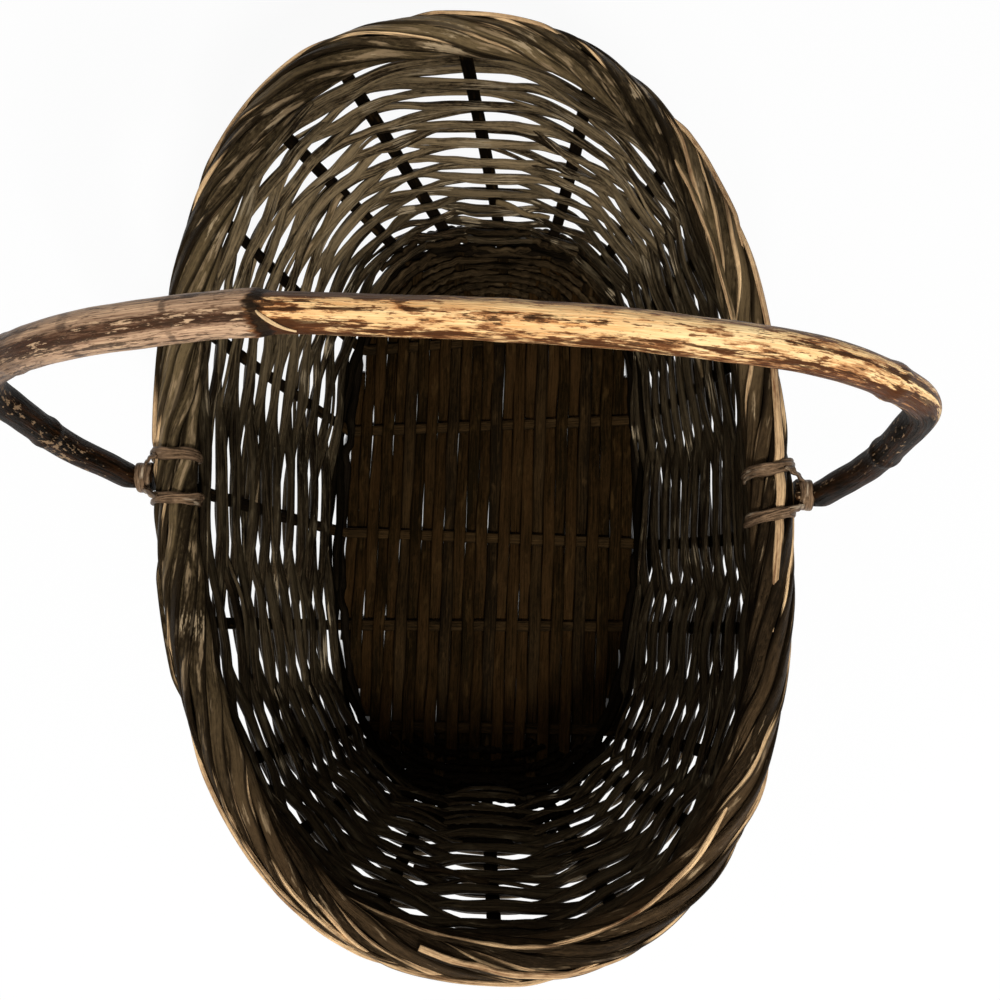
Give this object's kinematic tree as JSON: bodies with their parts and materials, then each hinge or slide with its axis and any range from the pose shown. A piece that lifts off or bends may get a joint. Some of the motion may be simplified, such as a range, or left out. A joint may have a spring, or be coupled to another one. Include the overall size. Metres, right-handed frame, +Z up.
{
  "type": "mushroom foraging basket",
  "caption": "Long oval foraging basket woven from dark split cane, with a twisted cane rim and a round cane bow handle that swings in a lashed eye on each side.",
  "frame": {"origin": "in the plane that the basket stands on, under the middle of the rim's oval", "axes": "+Z up, +Y along the basket's length towards the end that the handle leans to, +X to its right, from one handle eye to the other"},
  "size_m": [0.2844, 0.3598, 0.2594],
  "materials": {
    "slat": "satin",
    "stake": "satin",
    "weaver": "satin",
    "rim_core": "matte",
    "rim_cane": "satin",
    "lashing": "satin",
    "handle": "gloss"
  },
  "bodies": {
    "basket": {"floor_slat_01": "slat", "floor_slat_02": "slat", "floor_slat_03": "slat", "floor_slat_04": "slat", "floor_slat_05": "slat", "floor_slat_07": "slat", "floor_slat_08": "slat", "floor_slat_09": "slat", "floor_slat_11": "slat", "floor_slat_12": "slat", "floor_slat_13": "slat", "floor_slat_15": "slat", "floor_slat_16": "slat", "floor_slat_17": "slat", "floor_slat_19": "slat", "floor_slat_20": "slat", "floor_slat_21": "slat", "floor_slat_23": "slat", "floor_slat_24": "slat", "floor_slat_25": "slat", "floor_slat_26": "slat", "cross_stake_1": "stake", "cross_stake_2": "stake", "cross_stake_3": "stake", "cross_stake_4": "stake", "cross_stake_5": "stake", "long_stake_1": "stake", "long_stake_2": "stake", "long_stake_3": "stake", "long_stake_4": "stake", "long_stake_5": "stake", "weaver_1a": "weaver", "weaver_1b": "weaver", "weaver_2a": "weaver", "weaver_2b": "weaver", "weaver_3a": "weaver", "weaver_3b": "weaver", "weaver_4a": "weaver", "weaver_4b": "weaver", "weaver_5a": "weaver", "weaver_5b": "weaver", "weaver_6a": "weaver", "weaver_6b": "weaver", "rim_core": "rim_core", "rim_cane_1": "rim_cane", "rim_cane_2": "rim_cane", "rim_cane_3": "rim_cane", "rim_cane_4": "rim_cane", "rim_cane_5": "rim_cane", "rim_cane_6": "rim_cane", "rim_cane_7": "rim_cane", "rim_cane_8": "rim_cane", "left_lashing": "lashing", "right_lashing": "lashing"},
    "handle": {"handle": "handle"}
  },
  "joints": [
    {"name": "handle_swing", "type": "hinge", "parent": "basket", "child": "handle", "pos_m": [0, -0.0055, 0.115], "axis": [1, 0, 0], "range_deg": [-73, 90]}
  ]
}
